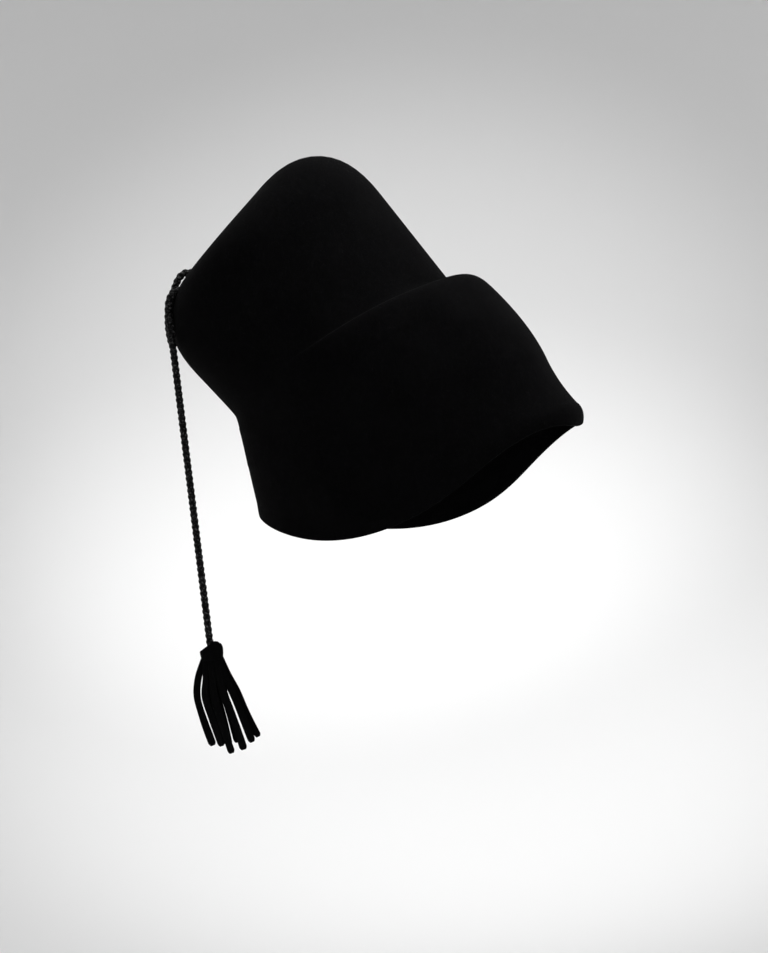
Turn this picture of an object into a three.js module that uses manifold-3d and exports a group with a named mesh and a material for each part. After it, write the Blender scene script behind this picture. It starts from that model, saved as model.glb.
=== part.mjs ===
// A felt fez: a crown that leans back from a creased waist, a deep cap with a dipped rim and a short
// front peak, and a braided cord looped through the crown's back edge that carries a felt tassel.
// Millimetres. +X is the wearer's front, +Y the wearer's left, +Z up.
// The origin is the middle of the head opening.

import * as THREE from 'three';
import { mergeVertices } from 'three/addons/utils/BufferGeometryUtils.js';
import Module from 'manifold-3d';

// Driving dimensions of the felt
const FELT_WALL = 2.2;
const RING_POINTS = 56;
const BEND_SHARE = 0.96;

// Sections of the felt from the rim to the middle of the top. Each is a ring through a front point and a
// back point in the middle plane. sideDrop sinks its sides, peak pushes its front out, dip lowers the middle
// of its front, dent sinks the front panel and ridge raises the two soft folds beside it. The rounds are how
// far from the section the wall starts to bend, at the front, the sides and the back. wallSteps and bendSteps
// are the facets of the straight stretch below the section and of its bend.
const SECTION_COLUMNS = [
  'frontX', 'frontZ', 'backX', 'backZ', 'halfWidth', 'sideDrop', 'peak', 'dip', 'dent', 'ridge',
  'roundFront', 'roundSide', 'roundBack', 'wallSteps', 'bendSteps',
];
const SECTION_ROWS = {
  rim: [110, 18.5, -104, -16, 77, 40.5, 21.5, 3.5, 0, 0, 0, 0, 0, 0, 0],
  lip: [110.5, 25, -104.5, -11, 77.75, 35.5, 23.5, 0, 0, 0, 14, 9, 9, 1, 3],
  brow: [112, 46, -106, 4, 80, 20, 7, 0, 0, 0, 40, 60, 60, 1, 4],
  cap: [105, 90, -107, 27, 82, 4, 0, 0, 3, 3, 60, 60, 60, 1, 4],
  shoulder: [67.5, 133, -110, 46, 80, 0, 0, 0, 1, 2, 28, 60, 20, 1, 5],
  waist: [50, 124, -112, 52, 77, 0, 0, 0, 0, 0, 2, 30, 12, 1, 4],
  topEdge: [-25, 244, -167, 122, 74, 20, 0, 0, 0, 0, 60, 28, 50, 2, 6],
  topRing: [-79, 197.5, -114, 168, 18, 1, 0, 0, 0, 0, 15, 15, 15, 1, 2],
  topMiddle: [-96, 183, -96, 183, 0, 0, 0, 0, 0, 0, 0, 0, 0, 1, 0],
};
const PEAK_SPREAD = THREE.MathUtils.degToRad(38);
const PEAK_POWER = 3;
const PEAK_LIFT_POWER = 5;
const DIP_SPREAD = THREE.MathUtils.degToRad(13);
const DENT_SPREAD = THREE.MathUtils.degToRad(20);
const RIDGE_ANGLE = THREE.MathUtils.degToRad(36);
const RIDGE_SPREAD = THREE.MathUtils.degToRad(11);

// Driving dimensions of the cord. Its route starts at the sewn-back end, runs up over the crown's back
// edge, in through the felt, round inside the crown, out again and plumb down into the tassel's head.
const CORD_DIAMETER = 4.2;
const CORD_SIDES = 10;
const CORD_STEPS = 76;
const CORD_HOLE_CLEARANCE = 0.7;
const CORD_HOLE_STEPS = 16;
const PLUMB_X = -136;
const PLUMB_Y = -50;

// Driving dimensions of the tassel
const HEAD_TOP = -101.5;
const HEAD_HEIGHT = 12.5;
const HEAD_RADIUS = 7.2;
const HEAD_BEVEL = 0.8;
const ROLL_STEP = 1.5;
const ROLL_POINTS = 28;
const ROLL_END_TURN = THREE.MathUtils.degToRad(26);
const ROLL_SWEEP = THREE.MathUtils.degToRad(354);
const SOCKET_CLEARANCE = 0.35;
const CORD_INTO_HEAD = 9;
const FAN_TURN = THREE.MathUtils.degToRad(20);
const STRIP_WIDTH = 5.4;
const STRIP_WALL = 1.8;
const STRIP_ROOT_OVERLAP = 2.2;
const STRIP_STEPS = 7;
const UPPER_SHARE = 0.22;
const MIDDLE_SHARE = 0.42;
const LOWER_SHARE = 0.68;

// The cord's route, in three stretches
const SEWN_BACK_END = [
  [-138.2, -45.9, 102], [-138.6, -46.2, 108], [-139, -46.4, 115], [-138.7, -46.4, 121.5], [-137.7, -46.1, 129],
  [-135.3, -45.5, 136.5], [-131.8, -44.5, 143.5], [-128.4, -43.3, 149.8], [-125.2, -42, 152.9],
];
const LOOP_THROUGH_FELT = [
  [-122, -41, 153.6], [-118, -40, 152.6], [-114, -39.5, 149.6], [-112.6, -39.7, 146.2], [-113.8, -41, 143],
  [-117.5, -43, 141.2], [-122, -45, 141.2], [-126.3, -47, 141.8], [-129.7, -48.5, 141.2], [-132, -49.6, 139.6],
];
const STANDING_PART = [
  [-133.7, -50.2, 137], [-135.1, -50.5, 133.4], [-135.9, -50.4, 128.8], [PLUMB_X, PLUMB_Y, 120],
  [PLUMB_X, PLUMB_Y, 107], [PLUMB_X, PLUMB_Y, 95], [PLUMB_X, PLUMB_Y, 60], [PLUMB_X, PLUMB_Y, 20],
  [PLUMB_X, PLUMB_Y, -20], [PLUMB_X, PLUMB_Y, -60], [PLUMB_X, PLUMB_Y, HEAD_TOP],
  [PLUMB_X, PLUMB_Y, HEAD_TOP - CORD_INTO_HEAD],
];

// The tassel's felt strips, about the head's axis: where each leaves the head, how far across it passes at
// the three shares of its way down, where its tip is, how far the tip is below the root, and how the strip's
// face is turned, in degrees
const STRIP_COLUMNS = ['rootX', 'rootY', 'upperX', 'middleX', 'lowerX', 'tipX', 'tipY', 'drop', 'faceTurn'];
const STRIP_ROWS = [
  [-5.2, -1.5, -10.9, -13.2, -11.0, -6.5, -2.5, 60.7, 10],
  [-4.5, -4.0, -5.6, -7.6, -4.5, -0.3, -5.0, 61.7, -20],
  [-1.0, -5.5, -1.2, -1.2, 1.6, 6.0, -7.0, 67.3, 5],
  [2.5, -5.0, 3.7, 5.5, 10.2, 14.4, -4.5, 66.0, 15],
  [4.5, -3.0, 7.0, 11.2, 15.8, 20.7, -2.5, 61.7, 10],
  [5.6, 0.0, 9.6, 13.9, 18.2, 25.2, 1.0, 58.7, -10],
  [4.5, 2.5, 8.2, 12.4, 17.0, 22.0, 3.5, 55.7, -15],
  [3.0, 4.0, 3.8, 5.0, 8.5, 12.0, 5.5, 58.7, -30],
  [1.0, 4.5, 2.4, 4.5, 7.8, 10.4, 2.5, 61.0, 0],
  [-3.0, 2.0, -3.3, -3.8, -1.6, 2.0, 1.5, 60.7, 20],
  [-4.5, 3.0, -5.4, -6.0, -3.8, -1.0, 5.5, 57.7, 40],
  [2.5, 1.0, 1.5, 1.0, 3.0, 4.8, -1.0, 62.2, 60],
];

const wasm = await Module();
wasm.setup();

function named(columns, row) {
  return Object.fromEntries(columns.map((column, i) => [column, row[i]]));
}

function solidOf(positions, triangles) {
  const vertProperties = new Float32Array(positions);
  const triVerts = new Uint32Array(triangles);
  return new wasm.Manifold(new wasm.Mesh({ numProp: 3, vertProperties, triVerts }));
}

function solidOfGeometry(geometry) {
  const bare = geometry.clone();
  bare.deleteAttribute('normal');
  bare.deleteAttribute('uv');
  const welded = mergeVertices(bare, 1e-3);
  return solidOf(welded.attributes.position.array, welded.index.array);
}

function geometryOf(solid) {
  const mesh = solid.getMesh();
  const geometry = new THREE.BufferGeometry();
  geometry.setAttribute('position', new THREE.BufferAttribute(mesh.vertProperties, 3));
  geometry.setIndex(new THREE.BufferAttribute(mesh.triVerts, 1));
  geometry.computeVertexNormals();
  return geometry;
}

function pieceOf(name, geometry, color, roughness) {
  const mesh = new THREE.Mesh(geometry, new THREE.MeshStandardMaterial({ color, roughness, metalness: 0 }));
  mesh.name = name;
  return mesh;
}

// Felt body

const SECTIONS = Object.values(SECTION_ROWS).map((row) => named(SECTION_COLUMNS, row));

function bell(angle, spread, power = 2) {
  return Math.exp(-(Math.abs(angle / spread) ** power));
}

// A section's point at a turn from the front: an ellipse through its front and back points, sunk at the
// sides by the square of the sine, less under the peak, dipped at its front, and moved out and in by the
// peak and the folds.
function sectionPoint(section, turn) {
  const ahead = Math.cos(turn);
  const aside = Math.sin(turn);
  const drop = section.sideDrop * aside ** 2 * (1 - Math.max(0, ahead) ** PEAK_LIFT_POWER);
  const peak = section.peak * bell(turn, PEAK_SPREAD, PEAK_POWER);
  const ridge = section.ridge * bell(Math.abs(turn) - RIDGE_ANGLE, RIDGE_SPREAD);
  const out = peak + ridge - section.dent * bell(turn, DENT_SPREAD);
  const dip = section.dip * bell(turn, DIP_SPREAD);
  const middleX = (section.frontX + section.backX) / 2;
  const middleZ = (section.frontZ + section.backZ) / 2;
  return new THREE.Vector3(
    middleX + ((section.frontX - section.backX) / 2 + out) * ahead,
    (section.halfWidth + out) * aside,
    middleZ + ((section.frontZ - section.backZ) / 2) * ahead - drop - dip,
  );
}

function sectionRound(section, turn) {
  const ahead = Math.cos(turn);
  const end = ahead > 0 ? section.roundFront : section.roundBack;
  return end * ahead ** 2 + section.roundSide * Math.sin(turn) ** 2;
}

// The wall from the rim to the middle of the top at one turn: straight from section to section, with each
// corner replaced by a quadratic bend that starts and ends at its round, or at its share of a short side.
function wallLine(turn) {
  const corners = SECTIONS.map((section) => sectionPoint(section, turn));
  const rounds = SECTIONS.map((section) => sectionRound(section, turn));
  const bendEnd = (i, j) => {
    const side = corners[i].distanceTo(corners[j]);
    const share = (BEND_SHARE * side * rounds[i]) / (rounds[i] + rounds[j]);
    return corners[i].clone().lerp(corners[j], Math.min(rounds[i], share) / side);
  };
  const points = [corners[0]];
  const last = SECTIONS.length - 1;
  for (let i = 1; i <= last; i += 1) {
    const { wallSteps, bendSteps } = SECTIONS[i];
    const from = points[points.length - 1];
    const start = i < last ? bendEnd(i, i - 1) : corners[i];
    for (let k = 1; k <= wallSteps; k += 1) {
      points.push(from.clone().lerp(start, k / wallSteps));
    }
    if (bendSteps > 0) {
      const bend = new THREE.QuadraticBezierCurve3(start, corners[i], bendEnd(i, i + 1));
      points.push(...bend.getPoints(bendSteps).slice(1));
    }
  }
  return points;
}

// The outer face is a grid of wall lines closed by one point at the top, and the inner face is the outer
// one moved in by the wall's thickness. The two meet at the rim.
function feltShell() {
  const turns = Array.from({ length: RING_POINTS }, (_, j) => (2 * Math.PI * j) / RING_POINTS);
  const lines = turns.map((turn) => wallLine(turn > Math.PI ? turn - 2 * Math.PI : turn));
  const rows = lines[0].length - 1;
  const at = (i, j) => lines[(j + RING_POINTS) % RING_POINTS][i];
  const outward = (i, j) => {
    const along = at(i + 1, j).clone().sub(at(Math.max(i - 1, 0), j));
    const around = at(i, j + 1).clone().sub(at(i, j - 1));
    return around.cross(along).normalize();
  };
  const outer = [];
  const inner = [];
  for (let i = 0; i < rows; i += 1) {
    for (let j = 0; j < RING_POINTS; j += 1) {
      outer.push(at(i, j));
      inner.push(at(i, j).clone().addScaledVector(outward(i, j), -FELT_WALL));
    }
  }
  const top = at(rows, 0);
  const topOutward = outward(rows - 1, 0).add(outward(rows - 1, RING_POINTS / 2)).normalize();
  outer.push(top);
  inner.push(top.clone().addScaledVector(topOutward, -FELT_WALL));

  const count = outer.length;
  const triangles = [];
  const quad = (a, b, c, d) => triangles.push(a, b, c, a, c, d);
  for (let j = 0; j < RING_POINTS; j += 1) {
    const next = (j + 1) % RING_POINTS;
    for (let i = 0; i < rows - 1; i += 1) {
      const a = i * RING_POINTS + j;
      const b = i * RING_POINTS + next;
      quad(a, b, b + RING_POINTS, a + RING_POINTS);
      quad(count + b, count + a, count + a + RING_POINTS, count + b + RING_POINTS);
    }
    const ring = (rows - 1) * RING_POINTS;
    triangles.push(ring + j, ring + next, count - 1);
    triangles.push(count + ring + next, count + ring + j, 2 * count - 1);
    quad(next, j, count + j, count + next);
  }
  return solidOf([...outer, ...inner].flatMap((p) => p.toArray()), triangles);
}

// Cord

function cordTube(route, radius, steps) {
  const curve = new THREE.CatmullRomCurve3(route.map((p) => new THREE.Vector3(...p)), false, 'centripetal');
  const corners = Array.from({ length: CORD_SIDES }, (_, k) => {
    const turn = (2 * Math.PI * k) / CORD_SIDES;
    return new THREE.Vector2(radius * Math.cos(turn), radius * Math.sin(turn));
  });
  const section = new THREE.Shape(corners);
  return new THREE.ExtrudeGeometry(section, { steps, bevelEnabled: false, extrudePath: curve });
}

function cordHole() {
  const route = [...SEWN_BACK_END.slice(-1), ...LOOP_THROUGH_FELT, ...STANDING_PART.slice(0, 2)];
  return solidOfGeometry(cordTube(route, CORD_DIAMETER / 2 + CORD_HOLE_CLEARANCE, CORD_HOLE_STEPS));
}

// Tassel

// A strip of felt rolled round the cord's end: a spiral outline that steps out by one wall where it ends.
function tasselHead() {
  const outline = Array.from({ length: ROLL_POINTS + 1 }, (_, k) => {
    const share = k / ROLL_POINTS;
    const radius = HEAD_RADIUS - HEAD_BEVEL + ROLL_STEP * share;
    const turn = ROLL_END_TURN + ROLL_SWEEP * share;
    return new THREE.Vector2(radius * Math.cos(turn), radius * Math.sin(turn));
  });
  const roll = new THREE.Shape(outline);
  const socketRadius = CORD_DIAMETER / 2 + SOCKET_CLEARANCE + HEAD_BEVEL;
  roll.holes.push(new THREE.Path().absarc(0, 0, socketRadius, 0, 2 * Math.PI, true));
  const geometry = new THREE.ExtrudeGeometry(roll, {
    depth: HEAD_HEIGHT - 2 * HEAD_BEVEL,
    steps: 1,
    curveSegments: 6,
    bevelSize: HEAD_BEVEL,
    bevelThickness: HEAD_BEVEL,
    bevelSegments: 2,
  });
  geometry.translate(0, 0, HEAD_BEVEL - HEAD_HEIGHT);
  return solidOfGeometry(geometry);
}

// A flat strip along a smooth line from its root past its three shares to its tip, square at both ends.
function tasselStrip(strip) {
  const stops = [
    [0, strip.rootX],
    [UPPER_SHARE, strip.upperX],
    [MIDDLE_SHARE, strip.middleX],
    [LOWER_SHARE, strip.lowerX],
    [1, strip.tipX],
  ];
  const line = new THREE.CatmullRomCurve3(stops.map(([share, x]) => new THREE.Vector3(
    x,
    THREE.MathUtils.lerp(strip.rootY, strip.tipY, share),
    STRIP_ROOT_OVERLAP - HEAD_HEIGHT - strip.drop * share,
  )));
  const face = THREE.MathUtils.degToRad(strip.faceTurn);
  const across = new THREE.Vector3(Math.cos(face), Math.sin(face), 0).multiplyScalar(STRIP_WIDTH / 2);
  const positions = [];
  const triangles = [];
  const quad = (a, b, c, d) => triangles.push(a, b, c, a, c, d);
  for (let k = 0; k <= STRIP_STEPS; k += 1) {
    const centre = line.getPointAt(k / STRIP_STEPS);
    const through = line.getTangentAt(k / STRIP_STEPS).cross(across).setLength(STRIP_WALL / 2);
    for (const [side, depth] of [[-1, -1], [1, -1], [1, 1], [-1, 1]]) {
      const corner = centre.clone().addScaledVector(across, side).addScaledVector(through, depth);
      positions.push(...corner.toArray());
    }
    if (k > 0) {
      const a = 4 * k;
      for (let side = 0; side < 4; side += 1) {
        const next = (side + 1) % 4;
        quad(a - 4 + side, a - 4 + next, a + next, a + side);
      }
    }
  }
  quad(3, 2, 1, 0);
  const tip = 4 * STRIP_STEPS;
  quad(tip, tip + 1, tip + 2, tip + 3);
  return solidOf(positions, triangles);
}

function tassel() {
  const strips = STRIP_ROWS.map((row) => tasselStrip(named(STRIP_COLUMNS, row)));
  return strips.reduce((whole, strip) => whole.add(strip), tasselHead());
}

// Assembly

const hat = new THREE.Group();
hat.add(pieceOf('felt_body', geometryOf(feltShell().subtract(cordHole())), 0x0b0b0c, 0.95));

const cordRoute = [...SEWN_BACK_END, ...LOOP_THROUGH_FELT, ...STANDING_PART];
hat.add(pieceOf('hanging_cord', cordTube(cordRoute, CORD_DIAMETER / 2, CORD_STEPS), 0x101011, 0.6));

const fan = new THREE.Group();
fan.position.set(PLUMB_X, PLUMB_Y, HEAD_TOP);
fan.rotation.z = FAN_TURN;
fan.add(pieceOf('tassel', geometryOf(tassel()), 0x0c0c0d, 0.9));
hat.add(fan);

export default hat;
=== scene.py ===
import bpy
import numpy as np
from mathutils import Matrix, Vector


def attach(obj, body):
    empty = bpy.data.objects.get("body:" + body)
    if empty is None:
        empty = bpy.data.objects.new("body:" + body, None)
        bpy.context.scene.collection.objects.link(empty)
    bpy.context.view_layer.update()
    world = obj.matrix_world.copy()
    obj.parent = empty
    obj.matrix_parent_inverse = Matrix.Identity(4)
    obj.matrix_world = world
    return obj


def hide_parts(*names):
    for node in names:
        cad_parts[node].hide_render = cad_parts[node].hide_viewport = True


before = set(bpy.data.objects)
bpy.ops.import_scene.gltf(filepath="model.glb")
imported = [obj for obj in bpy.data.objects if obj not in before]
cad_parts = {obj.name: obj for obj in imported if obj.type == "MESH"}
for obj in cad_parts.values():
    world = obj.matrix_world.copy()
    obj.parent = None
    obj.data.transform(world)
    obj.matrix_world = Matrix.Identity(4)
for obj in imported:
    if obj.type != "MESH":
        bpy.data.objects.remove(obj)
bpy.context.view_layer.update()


# Camera
# It stands level with the rim at the hat's right side, a little towards the front, with a long lens.
# It is rolled, so that the plumb cord runs slightly across the picture.
VIEW_TURN = np.radians(20.0)
VIEW_ROLL = np.radians(7.13)
VIEW_DISTANCE = 2.5
TARGET_ALONG = -0.0115
TARGET_UP = -0.0031
PICTURE_LONG_SIDE = 953
METRES_PER_PIXEL = 0.00069
SENSOR = 36.0

level_right = np.array([np.cos(VIEW_TURN), np.sin(VIEW_TURN), 0.0])
level_up = np.array([0.0, 0.0, 1.0])
backward = np.array([np.sin(VIEW_TURN), -np.cos(VIEW_TURN), 0.0])
placement = np.eye(4)
placement[:3, 0] = level_right * np.cos(VIEW_ROLL) - level_up * np.sin(VIEW_ROLL)
placement[:3, 1] = level_right * np.sin(VIEW_ROLL) + level_up * np.cos(VIEW_ROLL)
placement[:3, 2] = backward
placement[:3, 3] = level_right * TARGET_ALONG + level_up * TARGET_UP + backward * VIEW_DISTANCE

camera_data = bpy.data.cameras.new("camera")
camera_data.sensor_width = SENSOR
camera_data.lens = VIEW_DISTANCE / METRES_PER_PIXEL * SENSOR / PICTURE_LONG_SIDE
camera = bpy.data.objects.new("camera", camera_data)
camera.matrix_world = Matrix(placement.tolist())
bpy.context.scene.collection.objects.link(camera)
bpy.context.scene.camera = camera


# Cord
# A black braided cord of four flat strands. It is looped through the crown's back edge, its short end is
# sewn back beside it, and it hangs plumb down into the rolled head of the tassel.
CORD_RINGS = 864
LINE_STEPS = 40
PLUMB = (-0.1360, -0.0500)
TASSEL_TOP = -0.1015
CORD_INTO_TASSEL = 0.009
SEWN_BACK_END = [
    (-0.1382, -0.0459, 0.1020), (-0.1386, -0.0462, 0.1080), (-0.1390, -0.0464, 0.1150),
    (-0.1387, -0.0464, 0.1215), (-0.1377, -0.0461, 0.1290), (-0.1353, -0.0455, 0.1365),
    (-0.1318, -0.0445, 0.1435), (-0.1284, -0.0433, 0.1498), (-0.1252, -0.0420, 0.1529),
]
LOOP_THROUGH_FELT = [
    (-0.1220, -0.0410, 0.1536), (-0.1180, -0.0400, 0.1526), (-0.1140, -0.0395, 0.1496),
    (-0.1126, -0.0397, 0.1462), (-0.1138, -0.0410, 0.1430), (-0.1175, -0.0430, 0.1412),
    (-0.1220, -0.0450, 0.1412), (-0.1263, -0.0470, 0.1418), (-0.1297, -0.0485, 0.1412),
    (-0.1320, -0.0496, 0.1396),
]
STANDING_PART = [
    (-0.1337, -0.0502, 0.1370), (-0.1351, -0.0505, 0.1334), (-0.1359, -0.0504, 0.1288), (*PLUMB, 0.1200),
    (*PLUMB, 0.1070), (*PLUMB, 0.0950), (*PLUMB, 0.0600), (*PLUMB, 0.0200), (*PLUMB, -0.0200),
    (*PLUMB, -0.0600), (*PLUMB, TASSEL_TOP), (*PLUMB, TASSEL_TOP - CORD_INTO_TASSEL),
]
STRANDS_EACH_WAY = 2
BRAID_PITCH = 0.0084
BRAID_RADIUS = 0.00144
BRAID_WEAVE = 0.00050
BRAID_END_TAPER = 0.007
BRAID_END_SIZE = 0.55
STRAND_HALF_WIDTH = 0.00142
STRAND_HALF_WALL = 0.00076
STRAND_SIDES = 12
STRAND_PLIES = 3
PLY_RELIEF = 0.10
PLY_TURN = 0.0042
YARN_FILAMENTS = 9
FILAMENT_SHARE = 0.15
# Painted highlights: in small noisy spots on each strand's outward crest, the base colour is lifted from
# the dark yarn towards a light grey, standing in for glints of the lamps on the shiny yarn. The same spots
# are also made smoother and raised a little.
GLINTS_PER_METRE = 700.0
GLINT_CONTRAST = 7.0
GLINT_THRESHOLD = 3.6
YARN_ROUGHNESS = 0.55
GLINT_POLISH = 0.2
GLINT_RELIEF = 0.00012
# The dark colour is the yarn's own; the light one is the colour of the painted highlights.
CORD_DARK = (0.0004, 0.0004, 0.0005, 1.0)
CORD_PAINTED_GLINT = (0.0600, 0.0600, 0.0610, 1.0)


def unit(vectors):
    """Each vector divided by its length."""
    return vectors / np.linalg.norm(vectors, axis=-1, keepdims=True)


def smooth_line(points, count):
    """A centripetal Catmull-Rom line through the points: each stretch is a cubic whose end slopes come from
    its neighbours, spaced by the root of their distances. It is then divided evenly by its length."""
    p = np.asarray(points, float)
    p = np.concatenate([2 * p[:1] - p[1:2], p, 2 * p[-1:] - p[-2:-1]])
    gap = np.sqrt(np.linalg.norm(np.diff(p, axis=0), axis=1))[:, None]
    before, here, after = gap[:-2], gap[1:-1], gap[2:]
    p0, p1, p2, p3 = p[:-3], p[1:-2], p[2:-1], p[3:]
    leave = ((p1 - p0) / before - (p2 - p0) / (before + here) + (p2 - p1) / here) * here
    arrive = ((p2 - p1) / here - (p3 - p1) / (here + after) + (p3 - p2) / after) * here
    t = np.linspace(0, 1, LINE_STEPS, endpoint=False)[:, None, None]
    square = -3 * p1 + 3 * p2 - 2 * leave - arrive
    cube = 2 * p1 - 2 * p2 + leave + arrive
    dense = np.swapaxes(p1 + leave * t + square * t**2 + cube * t**3, 0, 1).reshape(-1, 3)
    dense = np.concatenate([dense, p[-2:-1]])
    length = np.concatenate([[0], np.cumsum(np.linalg.norm(np.diff(dense, axis=0), axis=1))])
    even = np.linspace(0, length[-1], count)
    return np.stack([np.interp(even, length, dense[:, axis]) for axis in range(3)], -1), even


def tube_piece(name, tubes, along):
    """One mesh of closed tubes, from an array of tubes by rings by points. Quads join neighbouring rings,
    and a fan from its middle closes each end. The UV map holds the length along a tube and the share
    round it."""
    count, rings, points = tubes.shape[:3]
    grid = np.arange(count * rings * points).reshape(count, rings, points)
    onward = np.roll(grid, -1, axis=2)
    quads = np.stack([grid[:, :-1], onward[:, :-1], onward[:, 1:], grid[:, 1:]], -1).reshape(-1, 4)
    middles = np.stack([tubes[:, 0].mean(1), tubes[:, -1].mean(1)], 1).reshape(-1, 3)
    first = np.broadcast_to(grid.size + 2 * np.arange(count)[:, None], (count, points))
    fans = np.concatenate([
        np.stack([onward[:, 0], grid[:, 0], first], -1).reshape(-1, 3),
        np.stack([grid[:, -1], onward[:, -1], first + 1], -1).reshape(-1, 3),
    ])
    mesh = bpy.data.meshes.new(name)
    vertices = np.concatenate([tubes.reshape(-1, 3), middles])
    mesh.from_pydata(vertices, [], quads.tolist() + fans.tolist())
    u = np.broadcast_to(along[:, :, None], (count, rings, points))
    v = np.broadcast_to(np.arange(points + 1) / points, (count, rings - 1, points + 1))
    corner_u = np.stack([u[:, :-1], u[:, :-1], u[:, 1:], u[:, 1:]], -1)
    corner_v = np.stack([v[..., :-1], v[..., 1:], v[..., 1:], v[..., :-1]], -1)
    quad_uv = np.stack([corner_u, corner_v], -1).reshape(-1, 2)
    end_u = np.repeat(np.concatenate([along[:, 0], along[:, -1]]), 3 * points)
    fan_uv = np.stack([end_u, np.zeros_like(end_u)], -1)
    layer = mesh.uv_layers.new(name="surface")
    layer.data.foreach_set("uv", np.concatenate([quad_uv, fan_uv]).astype(np.float32).ravel())
    mesh.polygons.foreach_set("use_smooth", np.ones(len(mesh.polygons), bool))
    mesh.update()
    piece = bpy.data.objects.new(name, mesh)
    bpy.context.scene.collection.objects.link(piece)
    return piece


class Wire:
    """A node's output socket. Arithmetic on wires adds Math nodes, and node() adds any other node."""

    def __init__(self, tree, socket=None):
        self.tree = tree
        self.socket = socket

    def node(self, kind, settings, sockets, out=0):
        """A node of a kind, with its settings set first and then its sockets' values or links."""
        made = self.tree.nodes.new(kind)
        for name, value in settings.items():
            setattr(made, name, value)
        for name, value in sockets.items():
            if isinstance(value, Wire):
                self.tree.links.new(value.socket, made.inputs[name])
            else:
                made.inputs[name].default_value = value
        return Wire(self.tree, made.outputs[out])

    def math(self, operation, *values):
        return self.node("ShaderNodeMath", {"operation": operation}, dict(enumerate(values)))

    def __add__(self, other):
        return self.math("ADD", self, other)

    def __sub__(self, other):
        return self.math("SUBTRACT", self, other)

    def __rsub__(self, other):
        return self.math("SUBTRACT", other, self)

    def __mul__(self, other):
        return self.math("MULTIPLY", self, other)

    __radd__ = __add__
    __rmul__ = __mul__


def new_finish(name):
    """A material with an empty node tree, and a wire to build it with."""
    material = bpy.data.materials.new(name)
    material.use_nodes = True
    material.node_tree.nodes.clear()
    return material, Wire(material.node_tree)


def close_finish(wire, sockets):
    """The Principled shader with these sockets, joined to the material's output."""
    shader = wire.node("ShaderNodeBsdfPrincipled", {}, sockets)
    output = wire.tree.nodes.new("ShaderNodeOutputMaterial")
    wire.tree.links.new(shader.socket, output.inputs["Surface"])


def tone(wire, dark, light, share):
    """A colour between two, by a share from 0 to 1."""
    sockets = {"Factor": share, 6: dark, 7: light}
    return wire.node("ShaderNodeMix", {"data_type": "RGBA"}, sockets, out=2)


def braid(line, length):
    """Four strands round the line. Two wind one way and two the other, and each one's distance from the
    middle rises and falls as a cosine, so that it passes over one strand and under the next. A strand's
    section is a flat ellipse with the small relief of its twisted plies."""
    tangent = unit(np.gradient(line, axis=0))
    side = unit(np.array([0.0, 1.0, 0.0]) - tangent[:, 1:2] * tangent)
    other = np.cross(tangent, side)
    size = BRAID_END_SIZE + (1 - BRAID_END_SIZE) * np.clip(length / BRAID_END_TAPER, 0, 1) ** 0.5
    way = np.repeat([1.0, -1.0], STRANDS_EACH_WAY)[:, None]
    start = np.tile(np.arange(STRANDS_EACH_WAY) * 2 * np.pi / STRANDS_EACH_WAY, 2)[:, None]
    turn = 2 * np.pi * length / BRAID_PITCH
    angle = (way * turn + start)[..., None]
    reach = (size * (BRAID_RADIUS + way * BRAID_WEAVE * np.cos(STRANDS_EACH_WAY * turn)))[..., None]
    outward = np.cos(angle) * side + np.sin(angle) * other
    centre = line + reach * outward
    run = unit(np.gradient(centre, axis=1))
    outward = unit(outward - (outward * run).sum(-1, keepdims=True) * run)
    across = np.cross(run, outward)
    round_strand = np.arange(STRAND_SIDES) * 2 * np.pi / STRAND_SIDES
    twist = round_strand - 2 * np.pi * length[:, None] / PLY_TURN
    relief = size[:, None] * (1 + PLY_RELIEF * np.cos(STRAND_PLIES * twist))
    out_part = (relief * STRAND_HALF_WALL * np.cos(round_strand))[None, ..., None]
    across_part = (relief * STRAND_HALF_WIDTH * np.sin(round_strand))[None, ..., None]
    rings = centre[:, :, None] + out_part * outward[:, :, None] + across_part * across[:, :, None]
    return rings, np.broadcast_to(length, rings.shape[:2])


cord_line, cord_along = smooth_line(SEWN_BACK_END + LOOP_THROUGH_FELT + STANDING_PART, CORD_RINGS)
cord = tube_piece("braided_cord", *braid(cord_line, cord_along))

# The base colour is the dark yarn with painted highlights: small light spots on the strands' outward
# crests, shaped by noise and the filament lines. The same mask also lowers the roughness and drives a small
# bump.
cord_finish, base = new_finish("black_braided_yarn")
yarn_uv = base.node("ShaderNodeTexCoord", {}, {}, out="UV")
yarn_along = base.node("ShaderNodeSeparateXYZ", {}, {"Vector": yarn_uv}, out="X")
yarn_round = base.node("ShaderNodeSeparateXYZ", {}, {"Vector": yarn_uv}, out="Y")
filaments = base.math("SINE", (yarn_round - yarn_along * (1 / PLY_TURN)) * (2 * np.pi * YARN_FILAMENTS))
yarn_place = base.node("ShaderNodeTexCoord", {}, {}, out="Object")
yarn_noise_sockets = {"Vector": yarn_place, "Scale": GLINTS_PER_METRE, "Detail": 2.0}
yarn_noise = base.node("ShaderNodeTexNoise", {}, yarn_noise_sockets)
glint_field = yarn_noise * GLINT_CONTRAST - GLINT_THRESHOLD + filaments * FILAMENT_SHARE
glint_spots = base.math("MAXIMUM", glint_field, 0)
yarn_crest = base.math("MAXIMUM", base.math("COSINE", yarn_round * (2 * np.pi)), 0)
painted_glint_share = base.math("POWER", yarn_crest, 2) * glint_spots
yarn_bump_sockets = {"Strength": 0.5, "Distance": GLINT_RELIEF, "Height": painted_glint_share}
close_finish(base, {
    "Base Color": tone(base, CORD_DARK, CORD_PAINTED_GLINT, painted_glint_share),
    "Roughness": YARN_ROUGHNESS - painted_glint_share * GLINT_POLISH,
    "Normal": base.node("ShaderNodeBump", {}, yarn_bump_sockets),
    "Specular IOR Level": 0.08,
    "Sheen Weight": 0.004,
    "Sheen Roughness": 0.4,
})
cord.data.materials.append(cord_finish)
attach(cord, "root")
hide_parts("hanging_cord")


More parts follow.
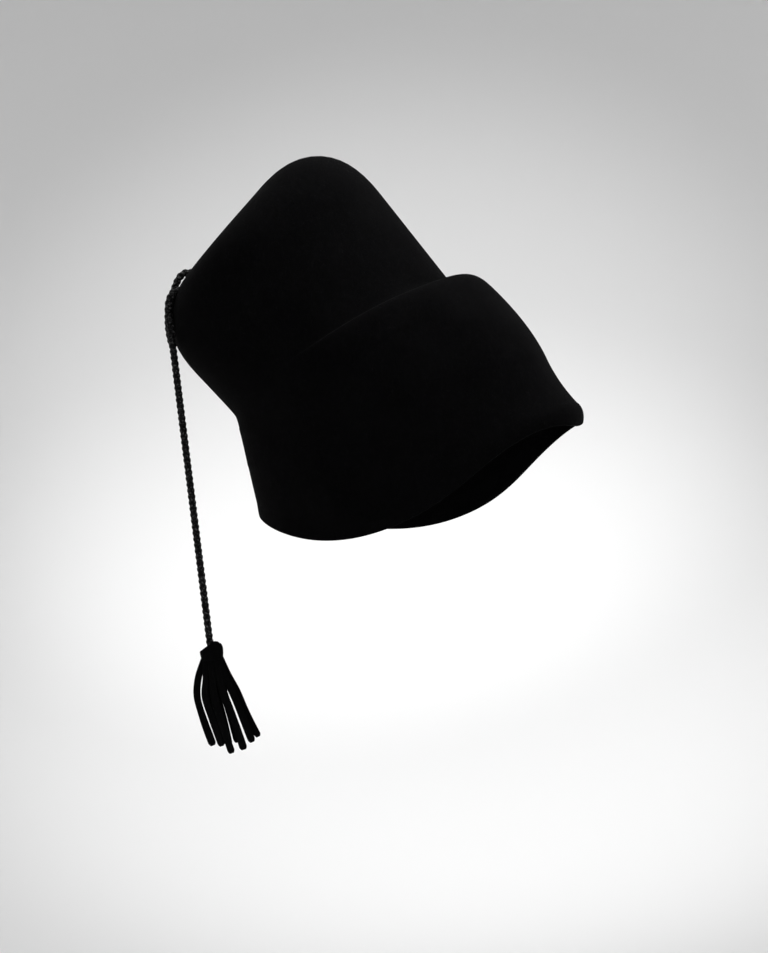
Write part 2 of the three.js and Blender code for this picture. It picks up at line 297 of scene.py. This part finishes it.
# Felt body
# One piece of black wool felt, steamed and pulled over blocks: a deep cap with a short front peak, a
# creased waist and a crown that leans back. It is hollow, and its rim is cut clean, with no band.
FELT_WALL = 0.0022
FELT_TURNS = 240
FELT_WALL_STEPS = 5
FELT_BEND_STEPS = 14
BEND_SHARE = 0.96
RIM_EDGE_CROWN = 0.0010
RIM_EDGE_STEPS = 7
BLOCKING_RELIEF = 0.00025
BLOCKING_FADE = 0.35
BLOCKING_WAVES = [(3, 9, 0), (5, -13, 1.3), (2, 21, 0)]
SECTION_COLUMNS = (
    "front_x", "front_z", "back_x", "back_z", "half_width", "side_drop",
    "peak", "dip", "dent", "ridge", "round_front", "round_side", "round_back",
)
SECTION_ROWS = {
    "rim": (0.1100, 0.0185, -0.1040, -0.016, 0.07700, 0.0405, 0.0215, 0.0035, 0, 0, 0, 0, 0),
    "lip": (0.1105, 0.0250, -0.1045, -0.011, 0.07775, 0.0355, 0.0235, 0, 0, 0, 0.014, 0.009, 0.009),
    "brow": (0.1120, 0.0460, -0.1060, 0.004, 0.08000, 0.0200, 0.0070, 0, 0, 0, 0.040, 0.060, 0.060),
    "cap": (0.1050, 0.0900, -0.1070, 0.027, 0.08200, 0.0040, 0, 0, 0.003, 0.003, 0.060, 0.060, 0.060),
    "shoulder": (0.0675, 0.1330, -0.1100, 0.046, 0.08000, 0, 0, 0, 0.001, 0.002, 0.028, 0.060, 0.020),
    "waist": (0.0500, 0.1240, -0.1120, 0.052, 0.07700, 0, 0, 0, 0, 0, 0.002, 0.030, 0.012),
    "top_edge": (-0.0250, 0.2440, -0.1670, 0.122, 0.07400, 0.0200, 0, 0, 0, 0, 0.060, 0.028, 0.050),
    "top_ring": (-0.0790, 0.1975, -0.1140, 0.168, 0.01800, 0.0010, 0, 0, 0, 0, 0.015, 0.015, 0.015),
    "top_middle": (-0.0960, 0.1830, -0.0960, 0.183, 0, 0, 0, 0, 0, 0, 0, 0, 0),
}
PEAK_SPREAD = np.radians(38)
PEAK_POWER = 3
PEAK_LIFT_POWER = 5
DIP_SPREAD = np.radians(13)
DENT_SPREAD = np.radians(20)
RIDGE_ANGLE = np.radians(36)
RIDGE_SPREAD = np.radians(11)
FIBRES_PER_METRE = 1500.0
NAP_PER_METRE = 420.0
NAP_STRETCH = (1.0, 1.0, 0.4)
NAP_SWIRL = 1.2
CLOUDS_PER_METRE = 28.0
PILE_TONE = 1.2
CLOUD_TONE = 0.6
TONE_FLOOR = 0.5
FELT_ROUGHNESS = 0.98
PILE_POLISH = 0.14
PILE_RELIEF = 0.0006
FELT_DARK = (0.0007, 0.0007, 0.0008, 1.0)
FELT_LIGHT = (0.0034, 0.0034, 0.0036, 1.0)


def bell(angle, spread, power=2):
    """One at no angle, falling as the exponential of the angle's power."""
    return np.exp(-np.abs(angle / spread) ** power)


def felt_face(turn):
    """The outer face, from the rim to the middle of the top. Each section is an ellipse through its front
    and back points, sunk at the sides by the square of the sine, dipped at the front, and moved out or in
    by the peak, the folds and the dent. The wall is straight from section to section, with each corner
    replaced by a quadratic bend."""
    s = dict(zip(SECTION_COLUMNS, np.array(list(SECTION_ROWS.values())).T[:, :, None]))
    ahead, aside = np.cos(turn), np.sin(turn)
    out = s["peak"] * bell(turn, PEAK_SPREAD, PEAK_POWER) - s["dent"] * bell(turn, DENT_SPREAD)
    out = out + s["ridge"] * bell(np.abs(turn) - RIDGE_ANGLE, RIDGE_SPREAD)
    drop = s["side_drop"] * aside**2 * (1 - np.maximum(0, ahead) ** PEAK_LIFT_POWER)
    drop = drop + s["dip"] * bell(turn, DIP_SPREAD)
    x = (s["front_x"] + s["back_x"]) / 2 + ((s["front_x"] - s["back_x"]) / 2 + out) * ahead
    y = (s["half_width"] + out) * aside
    z = (s["front_z"] + s["back_z"]) / 2 + (s["front_z"] - s["back_z"]) / 2 * ahead - drop
    corner = np.stack([x, y, z], -1)
    end = np.where(ahead > 0, s["round_front"], s["round_back"])
    bend = (end * ahead**2 + s["round_side"] * aside**2)[..., None]

    side = np.linalg.norm(np.diff(corner, axis=0), axis=-1, keepdims=True)
    shared = np.maximum(bend[:-1] + bend[1:], 1e-9)
    towards_next = np.minimum(bend[:-1], BEND_SHARE * side * bend[:-1] / shared) / side
    towards_last = np.minimum(bend[1:], BEND_SHARE * side * bend[1:] / shared) / side
    step = np.diff(corner, axis=0)
    leave = corner[:-1] + step * towards_next
    arrive = corner[1:] - step * towards_last

    straight = np.linspace(0, 1, FELT_WALL_STEPS, endpoint=False)[:, None, None]
    curved = np.linspace(0, 1, FELT_BEND_STEPS, endpoint=False)[:, None, None]
    rows = []
    for i in range(len(step)):
        rows.append(leave[i] + (arrive[i] - leave[i]) * straight)
        if i < len(step) - 1:
            from_start = (1 - curved) ** 2 * arrive[i] + 2 * curved * (1 - curved) * corner[i + 1]
            rows.append(from_start + curved**2 * leave[i + 1])
    return np.concatenate(rows)


def felt_shell():
    """The outer face, the inner face one wall further in along the normals, and between them a rim whose
    cut edge is half an ellipse. A sum of slow sines along the normals is the unevenness of hand blocking,
    and it fades out towards the middle of the top. Each sine has its waves round the hat, its radians from
    the rim to the top and its start."""
    turn = (np.arange(FELT_TURNS) + 0.5) * 2 * np.pi / FELT_TURNS - np.pi
    face = felt_face(turn)
    around = np.roll(face, -1, axis=1) - np.roll(face, 1, axis=1)
    normal = unit(np.cross(around, np.gradient(face, axis=0)))
    height = np.linspace(0, 1, len(face))[:, None]
    slow = sum(np.sin(waves * turn + rise * height + start) for waves, rise, start in BLOCKING_WAVES)
    fade = np.minimum(1, (1 - height) / BLOCKING_FADE)
    outer = face + BLOCKING_RELIEF * (fade * slow)[..., None] * normal
    inner = outer - FELT_WALL * normal
    down = unit(outer[0] - outer[1])
    half_turn = (np.arange(RIM_EDGE_STEPS) + 1)[:, None, None] * np.pi / (RIM_EDGE_STEPS + 1)
    across_wall = (inner[0] - outer[0]) / 2 * np.cos(half_turn)
    edge = (inner[0] + outer[0]) / 2 + across_wall + RIM_EDGE_CROWN * down * np.sin(half_turn)
    rings = np.concatenate([inner[::-1], edge, outer])
    middle_line = rings.mean(axis=1)
    along = np.concatenate([[0], np.cumsum(np.linalg.norm(np.diff(middle_line, axis=0), axis=1))])
    return rings[None], along[None]


def felt_finish(name, dark, light):
    """Matte wool felt: fine fibre grain and a coarser nap over slow changes of tone, and a soft sheen."""
    material, wire = new_finish(name)
    place = wire.node("ShaderNodeTexCoord", {}, {}, out="Object")
    nap_place = wire.node("ShaderNodeMapping", {}, {"Vector": place, "Scale": NAP_STRETCH})
    fibre_sockets = {"Vector": place, "Scale": FIBRES_PER_METRE, "Detail": 3.0}
    nap_sockets = {"Vector": nap_place, "Scale": NAP_PER_METRE, "Detail": 4.0, "Distortion": NAP_SWIRL}
    cloud_sockets = {"Vector": place, "Scale": CLOUDS_PER_METRE, "Detail": 2.0}
    fibre = wire.node("ShaderNodeTexNoise", {}, fibre_sockets)
    nap = wire.node("ShaderNodeTexNoise", {}, nap_sockets)
    cloud = wire.node("ShaderNodeTexNoise", {}, cloud_sockets)
    pile = fibre * 0.5 + nap * 0.5
    bump_sockets = {"Strength": 0.7, "Distance": PILE_RELIEF, "Height": pile}
    close_finish(wire, {
        "Base Color": tone(wire, dark, light, pile * PILE_TONE + cloud * CLOUD_TONE - TONE_FLOOR),
        "Roughness": FELT_ROUGHNESS - pile * PILE_POLISH,
        "Normal": wire.node("ShaderNodeBump", {}, bump_sockets),
        "Specular IOR Level": 0.01,
        "Sheen Weight": 0.008,
        "Sheen Roughness": 0.4,
    })
    return material


felt = tube_piece("felt_hat_body", *felt_shell())
felt.data.materials.append(felt_finish("black_wool_felt", FELT_DARK, FELT_LIGHT))
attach(felt, "root")
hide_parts("felt_body")


# Tassel
# A length of the same felt, cut into a fringe and rolled round the cord's end. The uncut edge makes the
# head, whose outer end shows as a step, and the fringe hangs as narrow strips with slightly rounded tips.
FAN_TURN = np.radians(20)
HEAD_HEIGHT = 0.0125
HEAD_RADIUS = 0.0072
ROLL_STEP = 0.0015
ROLL_WALL = 0.00142
ROLL_TURNS_INSIDE = 2.2
ROLL_END_TURN = np.radians(26)
ROLL_SWEEP = np.radians(354)
ROLL_RINGS = 220
HEAD_SLOPE = np.tan(np.radians(29))
HEAD_SLOPE_FROM = 0.0024
HEAD_SHOULDER = 0.0048
HEAD_BARREL = 0.10
HEAD_BARREL_RISE = 0.15
STRIP_WIDTH = 0.0055
STRIP_WALL = 0.0018
STRIP_ROOT_OVERLAP = 0.0022
STRIP_RINGS = 76
STRIP_SIDES = 20
STRIP_SQUARENESS = 0.42
STRIP_TWIST = np.radians(14)
STRIP_TWIST_STEP = 2.1
STRIP_WAVER = 0.06
STRIP_WAVER_TURN = 9
STRIP_WAVER_STEP = 1.7
STRIP_GATHER = 0.75
STRIP_GATHER_SHARE = 0.4
STRIP_TIP_REACH = 0.0026
STRIP_TIP_ROUND = 0.45
STRIP_SHARES = (0, 0.22, 0.42, 0.68, 1)
STRIP_COLUMNS = (
    "root_x", "upper_x", "middle_x", "lower_x", "tip_x", "root_y", "tip_y", "drop", "face_turn",
)
STRIP_ROWS = [
    (-0.0052, -0.0109, -0.0132, -0.0110, -0.0065, -0.0015, -0.0025, 0.0607, 10),
    (-0.0045, -0.0056, -0.0076, -0.0045, -0.0003, -0.0040, -0.0050, 0.0617, -20),
    (-0.0010, -0.0012, -0.0012, 0.0016, 0.0060, -0.0055, -0.0070, 0.0673, 5),
    (0.0025, 0.0037, 0.0055, 0.0102, 0.0144, -0.0050, -0.0045, 0.0660, 15),
    (0.0045, 0.0070, 0.0112, 0.0158, 0.0207, -0.0030, -0.0025, 0.0617, 10),
    (0.0056, 0.0096, 0.0139, 0.0182, 0.0252, 0.0000, 0.0010, 0.0587, -10),
    (0.0045, 0.0082, 0.0124, 0.0170, 0.0220, 0.0025, 0.0035, 0.0557, -15),
    (0.0030, 0.0038, 0.0050, 0.0085, 0.0120, 0.0040, 0.0055, 0.0587, -30),
    (0.0010, 0.0024, 0.0045, 0.0078, 0.0104, 0.0045, 0.0025, 0.0610, 0),
    (-0.0030, -0.0033, -0.0038, -0.0016, 0.0020, 0.0020, 0.0015, 0.0607, 20),
    (-0.0045, -0.0054, -0.0060, -0.0038, -0.0010, 0.0030, 0.0055, 0.0577, 40),
    (0.0025, 0.0015, 0.0010, 0.0030, 0.0048, 0.0010, -0.0010, 0.0622, 60),
]
TASSEL_DARK = (0.0009, 0.0009, 0.0010, 1.0)
TASSEL_LIGHT = (0.0045, 0.0045, 0.0048, 1.0)


def felt_ribbon(line, across, half_width, half_wall):
    """A squarish ring carried along a line: a superellipse whose wide way lies along across and whose thin
    way is square to across and to the line."""
    run = unit(np.gradient(line, axis=0))
    across = unit(across - (across * run).sum(-1, keepdims=True) * run)
    through = np.cross(run, across)
    angle = np.arange(STRIP_SIDES) * 2 * np.pi / STRIP_SIDES
    wide = np.sign(np.cos(angle)) * np.abs(np.cos(angle)) ** STRIP_SQUARENESS
    thin = np.sign(np.sin(angle)) * np.abs(np.sin(angle)) ** STRIP_SQUARENESS
    wide_part = (half_width[:, None] * wide)[..., None] * across[:, None]
    thin_part = (half_wall * thin)[None, :, None] * through[:, None]
    return line[:, None] + wide_part + thin_part


def rolled_head():
    """The head: a ribbon stood on edge along a spiral that grows by about one wall a turn. Its top slopes
    down towards one side and is rounded down by a quarter circle at the other, and the whole is a barrel:
    its radius shrinks with the square of the height from its widest place."""
    share = np.linspace(-ROLL_TURNS_INSIDE, 1, ROLL_RINGS)
    turn = ROLL_END_TURN + ROLL_SWEEP * share
    reach = HEAD_RADIUS - ROLL_STEP / 2 + ROLL_STEP * share
    line = np.stack([reach * np.cos(turn), reach * np.sin(turn), np.full_like(turn, -HEAD_HEIGHT / 2)], -1)
    upright = np.broadcast_to([0.0, 0.0, 1.0], line.shape)
    rings = felt_ribbon(line, upright, np.full_like(turn, HEAD_HEIGHT / 2), ROLL_WALL / 2)
    across = rings[..., 0]
    past_shoulder = np.clip(across - across.max() + HEAD_SHOULDER, 0, HEAD_SHOULDER)
    rounded = HEAD_SHOULDER - np.sqrt(HEAD_SHOULDER**2 - past_shoulder**2)
    lower = HEAD_SLOPE * np.maximum(0, HEAD_SLOPE_FROM - across) + rounded
    rings[..., 2] = (rings[..., 2] + HEAD_HEIGHT) * (1 - lower / HEAD_HEIGHT) - HEAD_HEIGHT
    above_middle = rings[..., 2] / (HEAD_HEIGHT / 2) + 1 - HEAD_BARREL_RISE
    rings[..., :2] *= (1 - HEAD_BARREL * above_middle**2)[..., None]
    return rings, np.linspace(0, 1, ROLL_RINGS)


def fringe_strip(row, order):
    """A strip along a smooth line from its root in the head past its three shares to its tip. It is slowly
    twisted, its width wavers as a sine, it is a little narrower where it is gathered in the head, and it is
    rounded in at its cut tip by the square of the nearness to it."""
    strip = dict(zip(STRIP_COLUMNS, row))
    way_down = np.array(STRIP_SHARES)
    stops = np.stack([
        np.array(row[:len(STRIP_SHARES)]),
        strip["root_y"] + (strip["tip_y"] - strip["root_y"]) * way_down,
        STRIP_ROOT_OVERLAP - HEAD_HEIGHT - strip["drop"] * way_down,
    ], -1)
    line, along = smooth_line(stops, STRIP_RINGS)
    share = along / along[-1]
    face = np.radians(strip["face_turn"]) + STRIP_TWIST * np.sin(STRIP_TWIST_STEP * order) * share
    across = np.stack([np.cos(face), np.sin(face), np.zeros_like(face)], -1)
    gathered = STRIP_GATHER + (1 - STRIP_GATHER) * np.minimum(1, share / STRIP_GATHER_SHARE)
    waver = np.sin(STRIP_WAVER_TURN * share + STRIP_WAVER_STEP * order)
    width = STRIP_WIDTH * gathered * (1 - STRIP_WAVER + STRIP_WAVER * waver)
    near_tip = np.maximum(0, 1 - (along[-1] - along) / STRIP_TIP_REACH)
    width = width * (1 - STRIP_TIP_ROUND * near_tip**2)
    return felt_ribbon(line, across, width / 2, STRIP_WALL / 2), along


def fan_place(points):
    """Points about the head's axis, turned with the fan and moved to the cord's foot."""
    x, y, z = np.moveaxis(points, -1, 0)
    turned_x = x * np.cos(FAN_TURN) - y * np.sin(FAN_TURN) + PLUMB[0]
    turned_y = x * np.sin(FAN_TURN) + y * np.cos(FAN_TURN) + PLUMB[1]
    return np.stack([turned_x, turned_y, z + TASSEL_TOP], -1)


head_rings, head_along = rolled_head()
tassel_head = tube_piece("tassel_head", fan_place(head_rings)[None], head_along[None])
strips = [fringe_strip(row, order) for order, row in enumerate(STRIP_ROWS)]
strip_rings = fan_place(np.stack([rings for rings, _ in strips]))
tassel_fringe = tube_piece("tassel_fringe", strip_rings, np.stack([along for _, along in strips]))
tassel_finish = felt_finish("tassel_felt", TASSEL_DARK, TASSEL_LIGHT)
for piece in (tassel_head, tassel_fringe):
    piece.data.materials.append(tassel_finish)
    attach(piece, "root")
    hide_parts("tassel")


# Floor and backdrop
# A plain pale floor that sweeps up into a wall all round, as a studio cove does. It isn't part of the hat.
FLOOR_Z = -0.60
FLOOR_RADIUS = 1.5
FLOOR_INNER_RINGS = (0.5, 0.75)
COVE_RADIUS = 3.5
COVE_WALL = 0.6
COVE_STEPS = 40
COVE_TURNS = 96
COVE_COLOUR = (0.80, 0.80, 0.80, 1.0)
COVE_ROUGHNESS = 0.9

bend_turn = np.linspace(0, np.pi / 2, COVE_STEPS)
cove_reach = np.concatenate([FLOOR_INNER_RINGS, FLOOR_RADIUS + COVE_RADIUS * np.sin(bend_turn)])
cove_height = np.concatenate([np.zeros(len(FLOOR_INNER_RINGS)), COVE_RADIUS * (1 - np.cos(bend_turn))])
cove_reach = np.append(cove_reach, FLOOR_RADIUS + COVE_RADIUS)
cove_height = np.append(cove_height, COVE_RADIUS + COVE_WALL) + FLOOR_Z
cove_turn = np.arange(COVE_TURNS) * 2 * np.pi / COVE_TURNS
cove_points = np.stack([
    cove_reach[:, None] * np.cos(cove_turn),
    cove_reach[:, None] * np.sin(cove_turn),
    np.broadcast_to(cove_height[:, None], (len(cove_reach), COVE_TURNS)),
], -1)
cove_grid = np.arange(cove_points.size // 3).reshape(cove_points.shape[:2])
cove_onward = np.roll(cove_grid, -1, axis=1)
cove_quads = np.stack([cove_grid[:-1], cove_grid[1:], cove_onward[1:], cove_onward[:-1]], -1).reshape(-1, 4)
cove_mesh = bpy.data.meshes.new("studio_cove")
cove_mesh.from_pydata(cove_points.reshape(-1, 3), [], cove_quads.tolist() + [cove_grid[0].tolist()])
cove_mesh.polygons.foreach_set("use_smooth", np.ones(len(cove_mesh.polygons), bool))
cove = bpy.data.objects.new("studio_cove", cove_mesh)
bpy.context.scene.collection.objects.link(cove)
cove_finish, base = new_finish("pale_studio_paint")
close_finish(base, {"Base Color": COVE_COLOUR, "Roughness": COVE_ROUGHNESS})
cove.data.materials.append(cove_finish)


# Studio light
# Even soft light from all round, a large softbox overhead, a small one above the front that shapes the
# felt, and two wide soft spots on the backdrop behind the hat, the lower one brighter.
WORLD_COLOUR = (1.0, 1.0, 1.0, 1.0)
WORLD_STRENGTH = 0.27
LIGHT_PLACES = {
    "overhead": {"place": (0.0, 0.0, 2.8), "aim": (0.0, 0.0, 0.0)},
    "front": {"place": (1.5, 0.2, 2.2), "aim": (0.0, 0.0, 0.1)},
    "backdrop_low": {"place": (0.98, -1.4, 1.2), "aim": (-0.91, 2.61, -0.36)},
    "backdrop_high": {"place": (0.04, -1.4, 1.2), "aim": (-1.24, 3.37, 0.09)},
}
SOFTBOXES = {
    "overhead": {"size": 4.0, "spread": 180, "power": 104.0},
    "front": {"size": 0.8, "spread": 34, "power": 3.0},
}
BACKDROP_SPOTS = {
    "backdrop_low": {"cone": 21.5, "power": 560.0},
    "backdrop_high": {"cone": 19, "power": 405.0},
}

world = bpy.data.worlds.new("soft_studio")
world.use_nodes = True
background = world.node_tree.nodes["Background"]
background.inputs["Color"].default_value = WORLD_COLOUR
background.inputs["Strength"].default_value = WORLD_STRENGTH
bpy.context.scene.world = world
bpy.context.scene.view_settings.view_transform = "Standard"


def hang_light(light_data, place, aim):
    """A light at a place, turned so that it shines towards its aim, and not seen by the camera."""
    light = bpy.data.objects.new(light_data.name, light_data)
    light.location = place
    light.rotation_mode = "QUATERNION"
    light.rotation_quaternion = (Vector(aim) - Vector(place)).to_track_quat("-Z", "Y")
    light.visible_camera = False
    bpy.context.scene.collection.objects.link(light)


for name, box in SOFTBOXES.items():
    softbox = bpy.data.lights.new(name, "AREA")
    softbox.shape = "DISK"
    softbox.size = box["size"]
    softbox.energy = box["power"]
    softbox.spread = np.radians(box["spread"])
    hang_light(softbox, **LIGHT_PLACES[name])
for name, beam in BACKDROP_SPOTS.items():
    spot = bpy.data.lights.new(name, "SPOT")
    spot.spot_size = np.radians(beam["cone"])
    spot.spot_blend = 1.0
    spot.energy = beam["power"]
    hang_light(spot, **LIGHT_PLACES[name])
